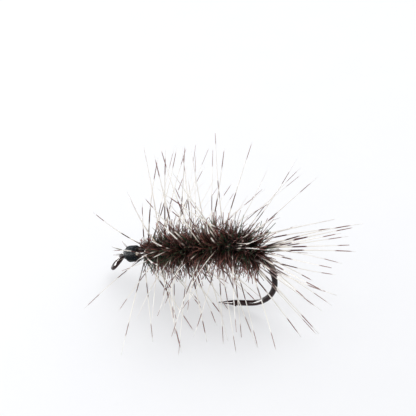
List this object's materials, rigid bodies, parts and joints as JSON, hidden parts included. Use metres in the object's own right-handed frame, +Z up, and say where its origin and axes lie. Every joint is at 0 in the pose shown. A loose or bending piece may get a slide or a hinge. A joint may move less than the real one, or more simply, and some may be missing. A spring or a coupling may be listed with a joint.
{
  "type": "dry fly",
  "caption": "Palmered dry fly on a down-eye hook: dark herl body, barred hackle wound along it, black thread head.",
  "frame": {"origin": "bottom centre of the box, on the surface that the fly stands on", "axes": "+Z up as the fly stands, +X from the eye towards the bend, Y across the fly"},
  "size_m": [0.019, 0.0168, 0.0136],
  "materials": {
    "bronzed_wire": "bronzed and lacquered steel wire, glossy",
    "black_thread": "waxed tying thread, satin",
    "head_cement": "clear cement, satin",
    "herl_quill": "dark feather quill, matte",
    "herl_flue": "peacock herl flue, dark with a green and bronze sheen",
    "hackle_stem": "pale feather stem, matte",
    "hackle_barb": "cream barb with dark brown bars, satin",
    "trimmed_fibre": "cut feather fibre, matte"
  },
  "bodies": {
    "root": {"hook": "bronzed_wire", "thread_base": "black_thread", "thread_rear_wraps": "black_thread", "thread_front_wraps": "black_thread", "thread_head": "black_thread", "whip_finish": "black_thread", "head_cement": "head_cement", "herl_butts": "herl_quill", "herl_tips": "herl_quill", "hackle_stem": "hackle_stem", "hackle_butt": "hackle_stem", "hackle_tip": "hackle_stem", "trimmed_ends": "trimmed_fibre", "herl_1_quill": "herl_quill", "herl_1_flues": "herl_flue", "herl_2_quill": "herl_quill", "herl_2_flues": "herl_flue", "herl_3_quill": "herl_quill", "herl_3_flues": "herl_flue", "hackle_barbs_turn_1": "hackle_barb", "hackle_barbs_turn_2": "hackle_barb", "hackle_barbs_turn_3": "hackle_barb", "hackle_barbs_turn_4": "hackle_barb", "hackle_barbs_turn_5": "hackle_barb", "hackle_barbs_turn_6": "hackle_barb", "hackle_barbs_turn_7": "hackle_barb", "hackle_barbs_turn_8": "hackle_barb"}
  },
  "joints": []
}
